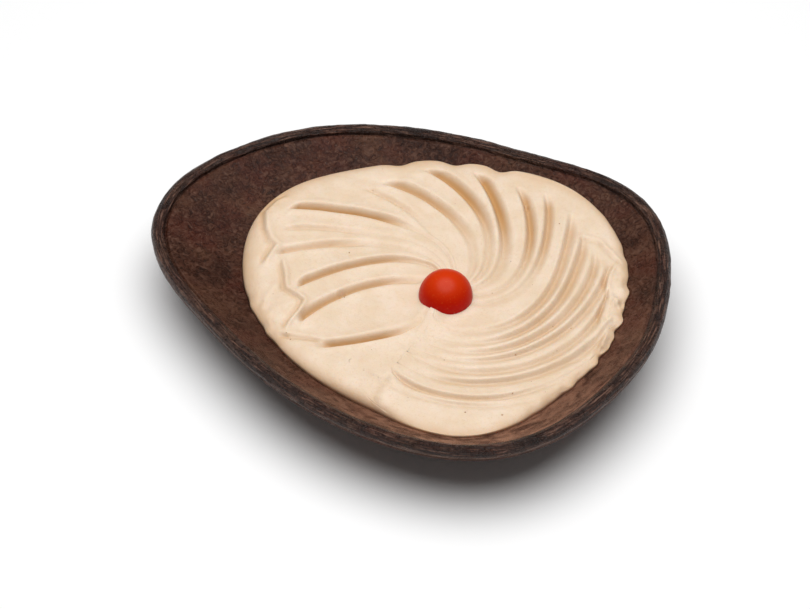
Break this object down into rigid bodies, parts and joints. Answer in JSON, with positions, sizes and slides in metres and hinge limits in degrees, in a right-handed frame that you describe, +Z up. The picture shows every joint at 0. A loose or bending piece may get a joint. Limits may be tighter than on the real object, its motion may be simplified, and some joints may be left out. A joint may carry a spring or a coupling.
{
  "type": "bowl of spicy tahini sauce",
  "caption": "Egg-shaped dark stoneware dish filled with creamy spicy tahini sauce in a spooned swirl, with a cherry tomato pressed into the middle.",
  "frame": {"origin": "middle of the dish's flat foot, on the table", "axes": "+X towards the blunt end of the egg-shaped dish (its narrow end is at -X), +Y towards the side where the sauce lies closest to the rim, +Z up"},
  "size_m": [0.2381, 0.1937, 0.0393],
  "materials": {
    "stoneware": "satin",
    "tahini": "satin",
    "tomato_skin": "gloss"
  },
  "bodies": {
    "root": {"bowl": "stoneware", "tahini_sauce": "tahini", "cherry_tomato": "tomato_skin"}
  },
  "joints": []
}
